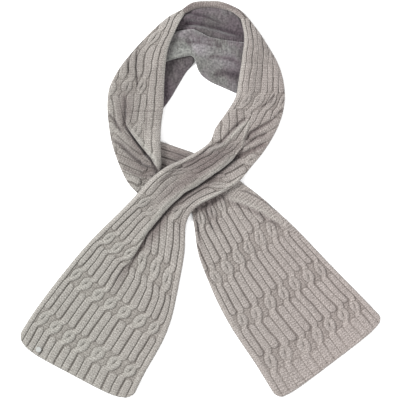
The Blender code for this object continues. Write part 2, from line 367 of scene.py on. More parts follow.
def strand(x, b):
    """How far out a point is from the rib's middle line, in half widths, and the rib's level there.

    x is across the cable, in millimetres, and b is rows above the crossing's middle.
    """
    y = b * ROW
    keys = np.arange(1, len(STRAND))
    at = np.linspace(1, len(STRAND) - 1, 25)
    turns = [curve(keys, [getattr(s, n) for s in STRAND[1:]], at) for n in ("x", "y")]
    turns += [np.interp(at, keys, [getattr(s, n) for s in STRAND[1:]]) for n in ("half", "level")]
    points = [STRAND[0], *(Strand(*values) for values in zip(*turns))]
    out = np.full(x.shape, 9.0)
    level = np.ones(x.shape)
    for a, c in zip(points[:-1], points[1:]):
        run = np.hypot(c.x - a.x, c.y - a.y)
        ux = (c.x - a.x) / run
        uy = (c.y - a.y) / run
        t = np.clip(((x - a.x) * ux + (y - a.y) * uy) / run, 0, 1)
        gap = np.hypot(x - a.x - t * run * ux, y - a.y - t * run * uy) / (a.half + (c.half - a.half) * t)
        closer = gap < out
        out = np.where(closer, gap, out)
        level = np.where(closer, a.level + (c.level - a.level) * t, level)
    return out, level


def crown(r, knot):
    """Height of a strand's section at r half widths from its middle: flat-topped, or round in a knot."""
    r = np.clip(r / 0.93, 0, 1)
    return (1 - r**6) ** 0.65 * (1 - knot) + (1 - r**3) ** 0.8 * knot


def relief(cables, rows, seam, parting):
    """Height of the knit, 0 in the gutters to 1 on the ribs, and which of it is knots.

    seam is a gutter within the selvedge, in cables, where the selvedge is turned up and shows two ribs.
    parting is the depth of the line between a knot's two strands, as a share of their height.
    """
    u = cables * CABLE
    v = rows * ROW
    rows = rows + 0.02 * noise(u, v, 15, 23) + 0.006 * noise(u, v, 5, 24)
    inside = cables - SELVEDGE
    across = (inside - np.floor(inside) - 0.5) * CABLE
    b = rows - np.rint(rows)
    down, down_level = strand(across, (rows + HANG) % 1 - HANG)
    up, up_level = strand(-across, (-rows + HANG) % 1 - HANG)
    knot = smooth((KNOT_ROWS - np.abs(b)) / 0.08)
    height = np.maximum(crown(down, knot) * down_level, crown(up, knot) * up_level)
    split = bell((down - up) / 0.3) * smooth((1.15 - np.maximum(down, up)) / 0.2)
    height = height * (1 - parting * split * knot)
    knots = knot * smooth((1.0 - np.minimum(down, up)) / 0.3)
    between = smooth((np.minimum(down, up) - 1.0) / 0.24) * smooth((GROUND_ROWS - np.abs(b)) / 0.05)
    height = np.maximum(height, GROUND * between)
    height = height * (1 - 0.06 * noise(u, v, 6, 25))
    edge = np.minimum(cables, CABLES - cables)
    middle = 0.5 * (seam + SELVEDGE)
    half = 0.5 * (SELVEDGE - seam)
    band = 0.9 * crown(np.abs(edge - middle) / half, 0)
    plain = 0.85 * crown((edge - seam + 0.26) / 0.26, 0)
    in_selvedge = edge < SELVEDGE
    return np.where(in_selvedge, np.where(edge < seam, plain, band), height), knots * ~in_selvedge


# ---
# Shells.


def shell_grid(name, columns, lines, coarse_columns, coarse_lines):
    """A closed flat pillow over the unit square: a fine upper face, a coarse lower one, and a rim."""
    shape = bmesh.new()
    bmesh.ops.create_grid(shape, x_segments=columns, y_segments=lines, size=0.5)
    low = bmesh.ops.create_grid(shape, x_segments=coarse_columns, y_segments=coarse_lines, size=0.5)
    lower = {f for v in low["verts"] for f in v.link_faces}
    bmesh.ops.reverse_faces(shape, faces=list(lower))
    bmesh.ops.translate(shape, verts=low["verts"], vec=Vector((0, 0, -1)))
    for face in lower:
        face.material_index = 1
    rim = [e for e in shape.edges if e.is_boundary]
    bmesh.ops.bridge_loops(shape, edges=rim)
    mesh = bpy.data.meshes.new(name)
    shape.to_mesh(mesh)
    shape.free()
    return mesh


def template(mesh):
    """Where each vertex lies on the unit square, and whether it is on the upper face."""
    flat = np.empty(len(mesh.vertices) * 3, np.float32)
    mesh.vertices.foreach_get("co", flat)
    flat = flat.reshape(-1, 3).astype(float)
    return flat[:, 0] + 0.5, flat[:, 1] + 0.5, flat[:, 2] > -0.5


def place(mesh, points):
    """Moves every vertex to its own point, given in millimetres."""
    mesh.vertices.foreach_set("co", (np.column_stack(points) * MM).astype(np.float32).ravel())
    mesh.update()


def note(mesh, name, values):
    """Stores a number at each vertex for the materials."""
    mesh.attributes.new(name, "FLOAT", "POINT").data.foreach_set("value", values.astype(np.float32))


def unwrap(mesh, name, across, along):
    """A UV map, in metres of cloth, from its place across and along at each vertex."""
    layer = mesh.uv_layers.new(name=name)
    corners = np.empty(len(mesh.loops), np.int32)
    mesh.loops.foreach_get("vertex_index", corners)
    uv = np.column_stack((across[corners], along[corners])) * MM
    layer.data.foreach_set("uv", uv.astype(np.float32).ravel())


def shown(name, data):
    """An object in the scene."""
    thing = bpy.data.objects.new(name, data)
    bpy.context.scene.collection.objects.link(thing)
    return thing


def piece_of(mesh, finishes, nodes):
    """The finished mesh as a piece of the scarf."""
    for finish in finishes:
        mesh.materials.append(finish)
    mesh.polygons.foreach_set("use_smooth", [True] * len(mesh.polygons))
    piece = shown(mesh.name, mesh)
    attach(piece, "root")
    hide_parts(*nodes)
    return piece


def drifted(drift, cables, rows):
    """Rows moved so that each cable's crossings fall where the drift says."""
    keys = sorted(drift)
    middles = np.arange(7) + SELVEDGE + 0.5
    total = np.zeros_like(rows)
    lines = [np.interp(cables, middles, drift[k]) for k in keys]
    place_in = np.clip(rows, keys[0], keys[-1])
    for k, (first, last) in enumerate(zip(keys[:-1], keys[1:])):
        inside = (place_in >= first) & ((place_in < last) | (last == keys[-1]))
        f = (place_in - first) / (last - first)
        total = np.where(inside, lines[k] * (1 - f) + lines[k + 1] * f, total)
    return rows - total


def rounding(depth, roll, edge):
    """Share of the full thickness at a depth in from an edge that rounds over the roll."""
    f = np.clip(depth / roll, 0, 1)
    return edge + (1 - edge) * np.sqrt(1 - (1 - f) ** 2)


# A crease is a soft trough along a line, in plan; a ridge is one with its depth below nothing.
Crease = namedtuple("Crease", "width depth points")

# A patch is a part of the cloth that is turned on its own, between creases.
#   angle      which way its cables are counted, in degrees from +X
#   at_x/y     a point on it, and
#   cable/row  the cable and the row there
#   pitch      cable width there, or 0 to count cables as the cloth around it does
Patch = namedtuple("Patch", "angle at_x at_y cable row pitch row_sign corners")

# A spot is a soft oval on the cloth, in plan: where shade is painted on it, or light where its amount is
# below nothing, or where its ribs are flattened.
Spot = namedtuple("Spot", "x y long wide angle amount")


def turned(x, y, at_x, at_y, angle):
    """Places from a point on, along a direction in degrees from +X, and square to it."""
    turn = np.radians(angle)
    dx = x - at_x
    dy = y - at_y
    return dx * np.cos(turn) + dy * np.sin(turn), dy * np.cos(turn) - dx * np.sin(turn)


def spotted(spots, x, y):
    """How much of some spots is at each point, 0 to 1."""
    rest = np.ones_like(x)
    for spot in spots:
        along, across = turned(x, y, spot.x, spot.y, spot.angle)
        out = (along / spot.long) ** 2 + (across / spot.wide) ** 2
        rest = rest * (1 - spot.amount * np.exp(-out))
    return 1 - rest


def inside_of(corners, x, y):
    """Which points of the plan lie in a polygon."""
    found = np.zeros(x.shape, bool)
    for (ax, ay), (bx, by) in zip(corners, corners[1:] + corners[:1]):
        if ay == by:
            continue
        crosses = (ay > y) != (by > y)
        found ^= crosses & (x < (bx - ax) * (y - ay) / (by - ay) + ax)
    return found


def patched(patches, x, y, cables, rows):
    """Cables and rows with each patch's own in place of the section's."""
    for patch in patches:
        across, along = turned(x, y, patch.at_x, patch.at_y, patch.angle)
        here = inside_of(patch.corners, x, y)
        if patch.pitch:
            cables = np.where(here, patch.cable + across / patch.pitch, cables)
        rows = np.where(here, patch.row + patch.row_sign * along / ROW, rows)
    return cables, rows


def crease_depth(crease, x, y):
    """How far a crease takes the surface down: a soft trough along a line, dying at both ends."""
    points = np.array(crease.points, float)
    runs = np.hypot(*np.diff(points, axis=0).T)
    start = np.concatenate(([0], np.cumsum(runs)))
    nearest = np.full_like(x, 1e6)
    where = np.zeros_like(x)
    for k, run in enumerate(runs):
        ax, ay = points[k]
        ux, uy = (points[k + 1] - points[k]) / run
        t = np.clip((x - ax) * ux + (y - ay) * uy, 0, run)
        gap = np.hypot(x - ax - t * ux, y - ay - t * uy)
        closer = gap < nearest
        nearest = np.where(closer, gap, nearest)
        where = np.where(closer, start[k] + t, where)
    total = start[-1]
    fade = smooth(where / (0.25 * total)) * smooth((total - where) / (0.25 * total))
    return crease.depth * bell(nearest / crease.width) * fade


LIP_ROLL = 4.5  # width over which a pleat's lip rounds over
OVERHANG = 3.0  # how far it stands past its foot
FULL_STEP = 5.0  # step of a pleat whose lip stands out fully
LIP_LIFT = 1.25  # height of the lip, as a share of the pleat's step
FOOT_DEPTH = 4.5  # depth of the hollow at the pleat's foot
FOOT_WIDE = 2.2  # half its width
DARKEST = 7.0  # depth of a hollow that would be quite dark
LEAST_WALL = 0.5  # thickness left under the deepest crease
HEM_SEAM = 4.5  # how far in from its end a hem's line lies
CORNER = 9.0  # radius of a hem's corners
SIDES = ("in_x", "in_y", "out_x", "out_y")


def plan(strip, ribs, p, q, first, last, hems):
    """Everything about the cloth at p across and q along a stretch."""
    rows = first + (last - first) * q
    section = table_at(strip, Section, SIDES, rows)
    rib = table_at(ribs, Ribs, (), rows)
    column = p * COLUMNS
    inner = column < LIP_COLUMN
    part = np.where(inner, column / LIP_COLUMN, (column - LIP_COLUMN) / (COLUMNS - LIP_COLUMN))
    share = np.where(inner, section.lip * part, section.lip + (1 - section.lip) * part)
    cables = np.where(
        inner, rib.inner + (rib.lip - rib.inner) * part, rib.past + (rib.outer - rib.past) * part
    )
    even = np.array([0, *(np.arange(7) + SELVEDGE + 0.5), CABLES])
    flat = 1 - smooth((np.abs(rib.past - rib.lip) + np.abs(rib.outer - CABLES)) / 0.6)
    if strip in (UPPER_STRIP, LOWER_STRIP):
        share = share * (1 - flat) + curve(even, CABLE_SHARES, column / CABLE_COLUMNS) * flat
    width = np.hypot(section.out_x - section.in_x, section.out_y - section.in_y)
    side_depth = np.minimum(share, 1 - share) * width
    u = cables * CABLE
    v = rows * ROW
    sway = 0.8 * noise(u, v, 19, 21) + 0.3 * noise(u, v, 8, 22)
    share = share + sway * smooth(side_depth / 10) / width
    # Round the hem's corners in plan.
    end_depth = np.full_like(rows, 1e3)
    for hem in hems:
        end_depth = np.minimum(end_depth, np.abs(rows - hem) * ROW)
    a = np.clip(1 - side_depth / CORNER, 0, 1)
    b = np.clip(1 - end_depth / CORNER, 0, 1)
    inward = CORNER * a * (1 - np.sqrt(1 - b * b / 2))
    upward = CORNER * b * (1 - np.sqrt(1 - a * a / 2))
    share = share + np.where(share < 0.5, 1, -1) * inward / width
    for hem in hems:
        toward = np.where(np.abs(rows - hem) * ROW < CORNER, 1.0, 0.0)
        rows = rows + toward * np.sign((first + last) / 2 - hem) * upward / ROW
    section = table_at(strip, Section, SIDES, rows)
    x = section.in_x * (1 - share) + section.out_x * share
    y = section.in_y * (1 - share) + section.out_y * share
    run_x = section.out_x - section.in_x
    run_y = section.out_y - section.in_y
    width = np.hypot(run_x, run_y)
    bow = section.bow * (1 - np.abs(2 * share - 1) ** 6)
    x = x + bow * run_y / width
    y = y - bow * run_x / width
    return x, y, rows, cables, share, section, width, inner, side_depth, end_depth


# What shapes and colours a stretch, other than its ribs.
#   pale       rows between which its inner edge is paler
#   creases/patches/flattened/shaded  as told there
#   hem_fold   corners of a part that a folded selvedge covers, or nothing
#   wander     the row past which its ribs wander from side to side
#   parting    depth of the line between a knot's strands, and
#   bright  how much highlight is painted on its knots
Look = namedtuple("Look", "pale creases patches flattened shaded hem_fold wander parting bright")


def knit_shell(name, strip, ribs, drift, span, lines, hems, board, look, nodes, finishes):
    """A length of the strip as one shell, draped over the board and added to it."""
    first, last = span
    mesh = shell_grid(name, COLUMNS, lines, 40, lines // 4)
    p, q, upper = template(mesh)
    x, y, rows, cables, share, section, width, inner, side, end = plan(
        strip, ribs, p, q, first, last, hems
    )
    inner_cable = table_at(ribs, Ribs, (), rows).inner
    depth = np.minimum(side, end)
    # The pleat: its lip rounds over and stands a little past its foot.
    strength = section.step / FULL_STEP
    from_lip = (share - section.lip) * width
    lip_round = np.clip(1 + from_lip / LIP_ROLL, 0, 1) * inner
    drop = (1 - np.sqrt(1 - lip_round**2)) * 0.9
    lift = np.where(inner & upper, LIP_LIFT * section.step * (1 - drop), 0)
    push = np.where(inner, smooth(lip_round) * OVERHANG, -smooth(1 - from_lip / 6.0) * 1.2)
    push = np.where(upper, push * strength, 0)
    x = x + push * (section.out_x - section.in_x) / width
    y = y + push * (section.out_y - section.in_y) / width
    low = board.rest(x, y)
    if strip is NECK_STRIP:
        low = low * np.clip((NECK_DOWN - rows) / (NECK_DOWN - first), 0, 1)
    if strip is LEFT_STRIP:
        low = low * smooth((rows - first) / (LEFT_DOWN - first))
    wall = (section.wall + lift) * rounding(depth, section.roll, EDGE)
    sway = 0.055 * noise(x, y, 15, 51) + 0.035 * noise(x, y, 6, 52)
    wandered = cables + sway * smooth((rows - look.wander) / 0.8) * smooth(side / 8)
    cables, rows = patched(look.patches, x, y, wandered, drifted(drift, cables, rows))
    cables = cables + np.where(cables == wandered, 0, sway * smooth(side / 8))
    seam = np.where(inner_cable < -0.1, 0.5 * (inner_cable + SELVEDGE) + 0.03, 0)
    fine, knots = relief(cables, rows, seam, look.parting)
    if look.hem_fold:
        # The turned side of the cloth is plain, in open stitches.
        fold = inside_of(look.hem_fold, x, y)
        column = cables * CABLE / STITCH_WIDE
        leg = 2 * np.abs(column - np.rint(column))
        course = rows * ROW / STITCH_TALL + STITCH_SLANT * leg + 0.5 * noise(x, y, 7, 31)
        stitch = 0.5 + 0.5 * np.sin(2 * np.pi * course) - 0.6 * leg**5
        fine = np.where(fold, 0.7 + 0.5 * stitch, fine)
    worn = spotted(look.flattened, x, y)
    worn = worn * (1 + 0.5 * noise(x, y, 9, 41)) + 0.35 * bell(end / CORNER)
    worn = np.clip(worn + 0.03 + 0.18 * noise(x, y, 26, 43), 0, 1)
    fine = fine * (1 - worn) + (0.8 + 0.2 * fine) * worn
    fine = np.maximum(fine - 0.35 * bell(end - HEM_SEAM), 0)
    carve = RIB_DEPTH * (1 - fine) * smooth(depth / 2.5 + 0.15)
    ripple = 0.6 * (1 - noise(x, y, 23, 5)) * smooth(depth / 10)
    past = np.maximum(from_lip - OVERHANG, 0)
    foot = FOOT_DEPTH * bell(past / FOOT_WIDE) + 1.5 * bell(past / 7)
    lip = 1.6 * bell((from_lip + 3.4) / FOOT_WIDE)
    trough = np.where(inner, -lip, foot) * strength
    for crease in look.creases:
        trough = trough + crease_depth(crease, x, y)
    top = low + np.maximum(wall - carve - ripple - trough, LEAST_WALL)
    gap = low - np.minimum(low, board.rest(x, y, tight=True))
    under = low - gap * smooth((rows - CLOSED_FROM) / 0.5)
    under = under + section.wall * UNDERCUT * (1 - rounding(depth, UNDER_ROLL, 0))
    place(mesh, (x, y, np.where(upper, top, under)))
    note(mesh, "rib", np.where(upper, fine, 0.5))
    # Painted shadow: a dark line along the foot of the pleat, under its lip.
    line = np.where(inner, 0, 0.97 * bell(past / 2.5) * np.clip(strength, 0, 1))
    # Painted shade, stored for the materials: darker the deeper a crease is, in the shaded spots and along
    # that line.
    shade = 1 - (1 - np.clip(trough / DARKEST, 0, 0.8)) * (1 - spotted(look.shaded, x, y)) * (1 - line)
    note(mesh, "painted_shade", np.where(upper, shade, 0))
    # pale: a paler, greener colour along the inner edge, together with painted highlights on the pleat's lip
    # (rim), on ridges and on the knots.
    pale = smooth((rows - look.pale[0]) / 0.3 + 0.5) * smooth((look.pale[1] - rows) / 0.3 + 0.5)
    pale = 0.7 * pale * smooth((5.5 - share * width) / 3)
    rim = np.where(inner, 1.9 * bell((from_lip + 1.5) / 1.2) * strength, 0)
    painted_ridge_highlight = 1.6 * np.clip(-trough / 2.4, 0, 1)
    knots = look.bright * knots * (1 - worn)
    note(mesh, "pale", np.where(upper, np.maximum.reduce((pale, rim, painted_ridge_highlight, knots)), 0))
    unwrap(mesh, "cloth", cables * CABLE, rows * ROW)
    if strip is not NECK_STRIP:
        board.lay(x[upper], y[upper], top[upper])
    return piece_of(mesh, finishes, nodes)


# ---
# The fleece inside the neck: sections run down the fleece, from left to right.
#   top_/low_  its ends, the top one under the neck's edge or under the fold in front
#   wave       height of the crumples across the section
Lining = namedtuple("Lining", "row top_x top_y low_x low_y wall wave")

NECK_FLEECE_BACK = table(
    Lining,
    (0, -34, 240, -36, 226, 4, 1), (1, -23, 250, -20, 223, 4, 1.5), (2, -8, 260, -6, 222, 5, 2),
    (3, 8, 263, 7, 217, 5, 2), (4, 24, 262, 22, 212, 5, 2), (5, 39, 258, 38, 208, 5, 2),
    (6, 51, 252, 53, 206, 5, 1.5), (7, 59, 240, 63, 205, 4, 1),
)

NECK_FLEECE_FRONT = table(
    Lining,
    (0, -40, 226, -54, 184, 5, 0.5), (1, -23, 229, -39, 189, 6, 1),
    (2, -10, 230, -23, 193, 6, 1), (3, 0, 226, -10, 193, 6, 1.5), (4, 12, 220, -2, 173, 6, 2),
    (5, 26, 217, 11, 161, 6, 2.5), (6, 40, 215, 28, 153, 6, 2.5), (7, 54, 213, 44, 146, 6, 2),
    (8, 66, 211, 60, 140, 5, 1),
)

LOOP_FLEECE_BACK = table(
    Lining,
    (0, -68, 202, -6, 200, 4, 0.5), (1, -68, 186, -9, 185, 4, 0.5), (2, -68, 173, -19, 173, 4, 0.5),
    (3, -68, 155, -30, 155, 4, 0.5), (4, -67, 138, -40, 138, 4, 0.5),
    (5, -64, 121, -50, 124, 3, 0),
)
FLEECE_EDGE = 0.35  # height of its edge's outer line, as a share of its thickness
FLEECE_UNDERCUT = 0.3  # the same for its lower face
COURSE = 3.1  # from one of its courses to the next

# Where the lining shows fine upright courses, and where its nap lies in strokes.
COURSES = [Spot(36, 214, 26, 6, 172, 0.9), Spot(36, 156, 14, 8, 155, 0.6)]
NAPPED = [Spot(2, 208, 44, 9, 174, 1.0), Spot(40, 250, 24, 8, 150, 0.8)]


def fleece_shell(name, node, lining, waves, board, creases, painted_dimming, shaded, finish):
    """A stretch of lining, crumpled in waves along it, draped over the board and added to it."""
    mesh = shell_grid(name, 90, 130, 18, 26)
    p, q, upper = template(mesh)
    section = table_at(lining, Lining, Lining._fields[1:], q * (len(lining) - 1))
    x = section.top_x * (1 - p) + section.low_x * p
    y = section.top_y * (1 - p) + section.low_y * p
    width = np.hypot(section.low_x - section.top_x, section.low_y - section.top_y)
    depth = np.minimum(p, 1 - p) * width
    low = board.rest(x, y)
    wall = section.wall - section.wave * np.cos(2 * np.pi * waves * p)
    wall = wall * rounding(depth, 5.0, FLEECE_EDGE)
    streaks = noise(x, y / 3.5, 1.5, 14)
    courses = np.cos(2 * np.pi * x / COURSE) * spotted(COURSES, x, y)
    strokes = noise(x + 0.3 * y, y / 3.0, 2.9, 15) * spotted(NAPPED, x, y)
    pile = 0.18 * noise(x, y, 1.7, 11) + 0.3 * streaks + 0.35 * courses + 0.65 * strokes
    pile = pile + 0.35 * noise(x, y, 6, 12) + 0.5 * noise(x, y, 15, 13)
    trough = np.zeros_like(x)
    for crease in creases:
        trough = trough + crease_depth(crease, x, y)
    top = low + np.maximum(wall + pile * smooth(depth / 4) - trough, 0.6)
    under = np.minimum(low, board.rest(x, y, tight=True))
    under = under + section.wall * FLEECE_UNDERCUT * (1 - rounding(depth, UNDER_ROLL, 0))
    place(mesh, (x, y, np.where(upper, top, under)))
    # Painted shade: darker in creases and shaded spots, and all over by painted_dimming where the lining
    # lies in shadow inside the neck; spots with an amount below nothing paint light. The nap's streaks,
    # courses and strokes vary it too.
    shade = 1 - (1 - np.clip(trough / 3.4, 0, 0.8)) * (1 - spotted(shaded, x, y)) * (1 - painted_dimming)
    note(mesh, "painted_shade", np.where(upper, shade - 0.1 * streaks - 0.15 * courses - 0.32 * strokes, painted_dimming))
    unwrap(mesh, "cloth", x, y)
    board.lay(x[upper], y[upper], top[upper])
    return piece_of(mesh, (finish, finish), (node,))


# ---
# Creases, and the patches between them.

LEFT_SECOND = [(-123, 85), (-115, 79), (-106, 73), (-97, 64), (-87, 55), (-77, 47), (-53, 39)]
LEFT_THIRD = [(-126, 119), (-121, 114), (-115, 106), (-109, 96), (-103, 88)]
LEFT_MAIN = [
    (-100, 107), (-97, 97), (-91, 90), (-83, 79), (-76, 70), (-72, 62), (-63, 54), (-54, 42),
]
LEFT_CREASES = table(
    Crease,
    (2.2, 3.6, LEFT_SECOND),
    (1.8, 2.8, LEFT_THIRD),
    (2, 2, [(-103, 146), (-101, 134), (-101, 118), (-101, 104)]),
    (1.6, -1.6, [(p[0] - 4, p[1] - 3) for p in LEFT_MAIN]),
    (0.8, 1.7, [(-112, 119), (-100, 118), (-80, 120), (-46, 119)]),
    (3, 2.6, [(-110, 46), (-96, 40), (-84, 34), (-66, 30)]),
    (1.3, 2.4, [(-83, 214), (-86, 198), (-87, 176), (-85, 158), (-84, 143)]),
    (1.3, 1.9, [(-96, 204), (-98, 190), (-97, 175), (-94, 165)]),
    (1.2, 1.6, [(-71, 144), (-72, 120), (-73, 100), (-73, 86)]),
)
LEFT_SHADED = table(
    Spot,
    (-84, 170, 90, 60, 100, 0.19), (-102, 121, 26, 11, 95, 0.4),
    (-84, 72, 26, 5, 128, 0.45), (-52, 110, 60, 6, 90, 0.08), (-80, 43, 30, 7, 150, 0.4),
    (-86, 60, 32, 8, 142, 0.28), (-112, 62, 22, 8, 130, 0.15), (-60, 34, 16, 8, 20, 0.35),
)
LEFT_FLATTENED = table(
    Spot,
    (-80, 108, 40, 30, 90, 0.35), (-108, 118, 30, 12, 90, 0.5), (-95, 60, 40, 14, 140, 0.2),
    (-70, 200, 60, 36, 70, 0.3),
)

LEFT_PATCHES = [
    Patch(
        228, -97, 88, 2.42, 0.62, 20.0, -1,
        [(-134, 126), *LEFT_THIRD[1:4], *LEFT_MAIN[1:], *LEFT_SECOND[::-1], (-136, 93)],
    ),
    Patch(
        248, -96, 55, 3.42, 1.55, 19.0, -1,
        [*LEFT_SECOND, (-40, 33), (-70, -10), (-115, 5), (-145, 60)],
    ),
]

RIDGE = [(70, 114), (55, 103), (43, 92), (30, 77), (14, 70), (0, 60)]
UPPER_CREASES = table(
    Crease,
    (2.4, -2.4, [(r[0] + 2, r[1] - 3) for r in RIDGE]),
    (2, 3.2, [(r[0] - 1, r[1] + 2) for r in RIDGE[:5]]),
    (1.8, 3.4, [(104, 113), (95, 106), (83, 99), (67, 90), (58, 74)]),
    (2.4, 3, [(95, 91), (88, 89), (72, 81), (56, 70)]),
    (1.4, 2.8, [(79, 121), (84, 126), (91, 131), (98, 139), (103, 147)]),
    (3, 3.2, [(96, 79), (90, 77), (68, 66), (52, 58), (40, 51)]),
    (1.8, -2.2, [(66, 108), (62, 94), (58, 82), (54, 68)]),
    (1.7, -2.2, [(-10, -16), (-7, -8), (6, 0), (20, 7), (33, 15), (47, 24), (60, 38)]),
    (1.7, 2.7, [(30, 78), (11, 71), (1, 61), (-10, 53), (-22, 48), (-36, 38), (-52, 26), (-68, 10)]),
)
UPPER_SHADED = table(
    Spot,
    (-18, 27, 56, 11, 36, 0.44), (18, 56, 34, 10, 34, 0.32), (-60, -42, 28, 7, 58, 0.45),
    (-34, -10, 30, 4, 43, 0.3), (12, 22, 40, 6, 35, 0.36), (-22, -30, 24, 9, 62, 0.15),
    (32, 62, 26, 12, 35, 0.18), (86, 74, 20, 10, 50, 0.12), (48, 110, 18, 7, 60, 0.2),
    (90, 130, 80, 40, 90, 0.07), (70, 90, 16, 5, 40, 0.35), (-7, 52, 30, 5, 32, 0.46),
)
UPPER_FLATTENED = table(
    Spot,
    (-20, 26, 66, 15, 38, 0.48), (24, 46, 30, 12, 35, 0.45), (-48, -2, 26, 14, 45, 0.25),
    (92, 88, 32, 24, 40, 0.45), (66, 138, 26, 16, 0, 0.45), (40, 96, 26, 14, 60, 0.3),
    (85, 185, 60, 40, 90, 0.35), (-45, -20, 36, 12, 50, 0.25), (-44, -50, 26, 12, 80, 0.35),
)

UPPER_PATCHES = [
    Patch(
        0, 62, 200, 1.0, 7.5, 0, 0,
        [(40, 184), (40, 216), (150, 216), (150, 184)],
    ),
    Patch(
        0, 38.5, 100, 1.417, 6.5, 21.5, 1,
        [(48, 124), (67, 119), *RIDGE[:4], (13, 73), (0, 80), (15, 105)],
    ),
    Patch(
        -60, 46, 53.5, 5.417, 6.71, 22.0, 1,
        [
            (116, 124), (103, 115), (83, 102), (67, 93), (58, 80), (57, 64), (40, 53), (26, 43),
            (50, 12), (95, 40), (130, 110),
        ],
    ),
]

# The upper right edge of the right tail is folded over below the crossing.
LOWER_FOLD_LINE = [
    (28, 7), (35, 1), (45, -3), (54, -5), (64, -9), (75, -14), (85, -19), (94, -26), (102, -30), (112, -36),
    (121, -43),
]
LOWER_HEM_FOLD = [(22, 16), *LOWER_FOLD_LINE, (134, -52), (155, -40), (60, 60), (20, 30)]
LOWER_CREASES = table(
    Crease,
    (3, 2.2, [(x - 1.5, y - 2) for x, y in LOWER_FOLD_LINE]),
    (3.5, -1.3, [(x + 2, y + 3) for x, y in LOWER_FOLD_LINE]),
    (1, 2.8, [(45, 14), (63, 11), (71, 7), (83, 0), (96, -9), (108, -21)]),
    (5, 2.4, [(-12, -14), (8, -6), (22, 0), (40, 12)]),
    (1.2, 2.6, [(-5, -4), (-5, -18), (-4, -32), (-2, -48), (3, -64)]),
    (1.4, 2.4, [(5, -6), (9, -18), (11, -26), (16, -38), (24, -46)]),
)
LOWER_SHADED = table(
    Spot,
    (8, -6, 26, 7, 30, 0.5), (16, -22, 14, 6, 120, 0.3), (-32, 62, 34, 14, 160, 0.52),
    (-44, 40, 30, 12, 160, 0.5), (0, -60, 40, 6, 100, 0.15),
)
LOWER_PATCHES = [Patch(0, 0, 0, 0, -0.55, 0, 0, [(-80, 30), (-80, 100), (40, 80), (20, 30)])]
LOWER_FLATTENED = [Spot(170, -208, 110, 18, 37, 0.4)]
LOWER_LOOK = Look(
    (9, 9.1), LOWER_CREASES, LOWER_PATCHES, LOWER_FLATTENED, LOWER_SHADED, LOWER_HEM_FOLD, 9, 0.55, 0.2
)
LEFT_LOOK = Look(
    (-1.6, -0.15), LEFT_CREASES, LEFT_PATCHES, LEFT_FLATTENED, LEFT_SHADED, [], -9, 0.55, 0.2
)
UPPER_LOOK = Look(
    (7.1, 8.7), UPPER_CREASES, UPPER_PATCHES, UPPER_FLATTENED, UPPER_SHADED, [], 4.2, 0.36, 0.35
)
NECK_SHADED = table(
    Spot,
    (-12, 260, 30, 12, 5, 0.42), (6, 260, 60, 6, 2, 0.45), (52, 252, 20, 12, -45, 0.36),
)
NECK_LOOK = Look((8.0, 10.2), [], [], [], NECK_SHADED, [], 99, 0, 0)

NECK_BACK_CREASES = table(
    Crease,
    (2.6, 2.6, [(-24, 246), (-17, 253), (-5, 250), (8, 248), (24, 240), (38, 232)]),
    (3.6, 4, [(-32, 242), (-22, 240), (1, 236), (26, 230), (52, 222), (62, 218)]),
    (2.2, -1.6, [(-20, 246), (0, 244), (22, 238), (44, 230)]),
)
NECK_BACK_SHADED = table(
    Spot,
    (-14, 251, 18, 6, 10, 0.35), (-28, 238, 12, 10, 60, 0.45), (10, 234, 44, 5, 170, 0.45),
    (-10, 242, 20, 4, 170, 0.15), (48, 222, 14, 8, 160, 0.3), (28, 247, 22, 9, 165, -0.35),
    (2, 257, 26, 5, 4, -0.25),
)
NECK_FRONT_CREASES = table(
    Crease,
    (2, 1.6, [(-30, 215), (-12, 213), (10, 210), (34, 206)]),
    (4, 2.6, [(14, 168), (30, 172), (44, 170), (60, 166)]),
    (3, 1.8, [(4, 190), (20, 194), (40, 190), (58, 184)]),
)
NECK_FRONT_SHADED = table(
    Spot,
    (24, 214, 44, 5, 170, 0.3), (46, 168, 17, 9, 170, 0.6), (56, 186, 16, 9, 100, 0.3),
    (52, 204, 14, 7, 90, 0.2), (34, 152, 20, 6, 155, 0.15), (-48, 196, 8, 10, 70, 0.25),
    (-26, 198, 22, 7, 12, -0.4), (18, 197, 26, 10, 165, -0.18), (8, 178, 14, 12, 60, 0.12),
)
LOOP_BACK_SHADED = table(
    Spot,
    (-47, 168, 30, 8, 90, 0.4), (-40, 184, 24, 6, 10, 0.25), (-46, 140, 20, 5, 80, 0.3),
)

# ---
# Materials.


